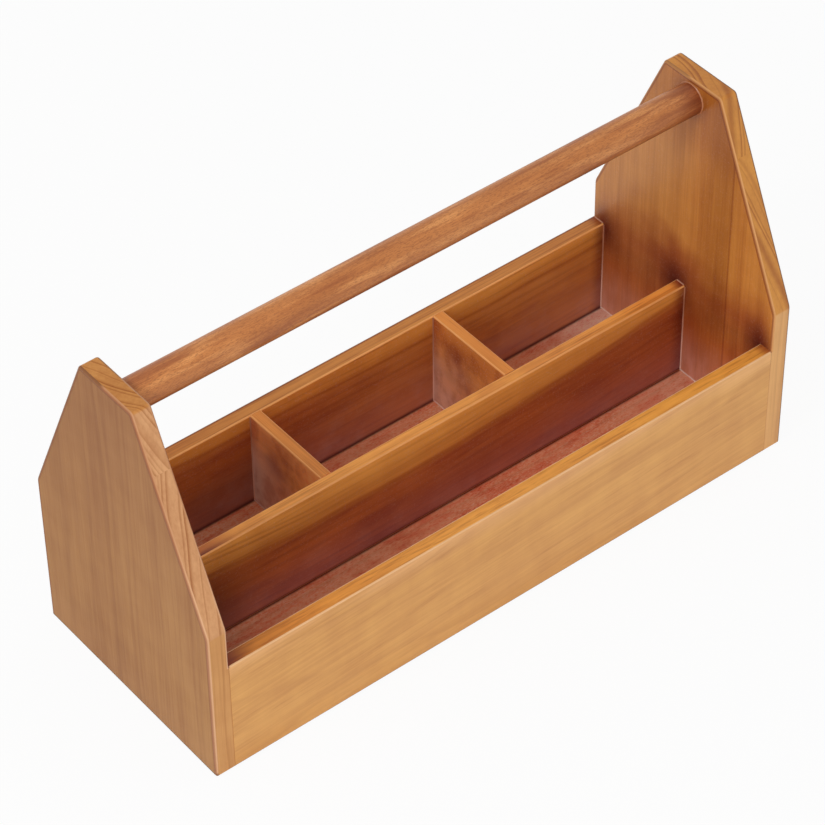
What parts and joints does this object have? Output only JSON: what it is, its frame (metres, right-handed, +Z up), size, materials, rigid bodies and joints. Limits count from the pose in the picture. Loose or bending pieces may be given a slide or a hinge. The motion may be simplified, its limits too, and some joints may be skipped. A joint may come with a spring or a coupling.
{
  "type": "barbecue caddy",
  "caption": "Open wooden caddy with gabled ends, a round handle rod, a long front compartment and a divided rear one, for carrying grill tools and sauce bottles.",
  "frame": {"origin": "on the surface that the caddy stands on, under the middle of its length and depth", "axes": "+X along the handle rod towards the right end panel, -Y towards the long front compartment, +Z up"},
  "size_m": [0.457, 0.173, 0.254],
  "materials": {
    "panel_wood": "satin",
    "board_wood": "satin",
    "divider_wood": "satin",
    "bottom_wood": "satin",
    "rod_wood": "satin",
    "pin_wood": "matte"
  },
  "bodies": {
    "root": {"left_end_panel": "panel_wood", "right_end_panel": "panel_wood", "front_board": "board_wood", "back_board": "board_wood", "long_divider": "divider_wood", "cross_divider_left": "divider_wood", "cross_divider_right": "divider_wood", "bottom_panel": "bottom_wood", "handle_rod": "rod_wood", "front_board_pin_left_low": "pin_wood", "front_board_pin_left_high": "pin_wood", "front_board_pin_right_low": "pin_wood", "front_board_pin_right_high": "pin_wood", "back_board_pin_left_low": "pin_wood", "back_board_pin_left_high": "pin_wood", "back_board_pin_right_low": "pin_wood", "back_board_pin_right_high": "pin_wood", "long_divider_pin_left_low": "pin_wood", "long_divider_pin_left_high": "pin_wood", "long_divider_pin_right_low": "pin_wood", "long_divider_pin_right_high": "pin_wood", "cross_divider_left_pin_front_low": "pin_wood", "cross_divider_left_pin_front_high": "pin_wood", "cross_divider_left_pin_back_low": "pin_wood", "cross_divider_left_pin_back_high": "pin_wood", "cross_divider_right_pin_front_low": "pin_wood", "cross_divider_right_pin_front_high": "pin_wood", "cross_divider_right_pin_back_low": "pin_wood", "cross_divider_right_pin_back_high": "pin_wood"}
  },
  "joints": []
}
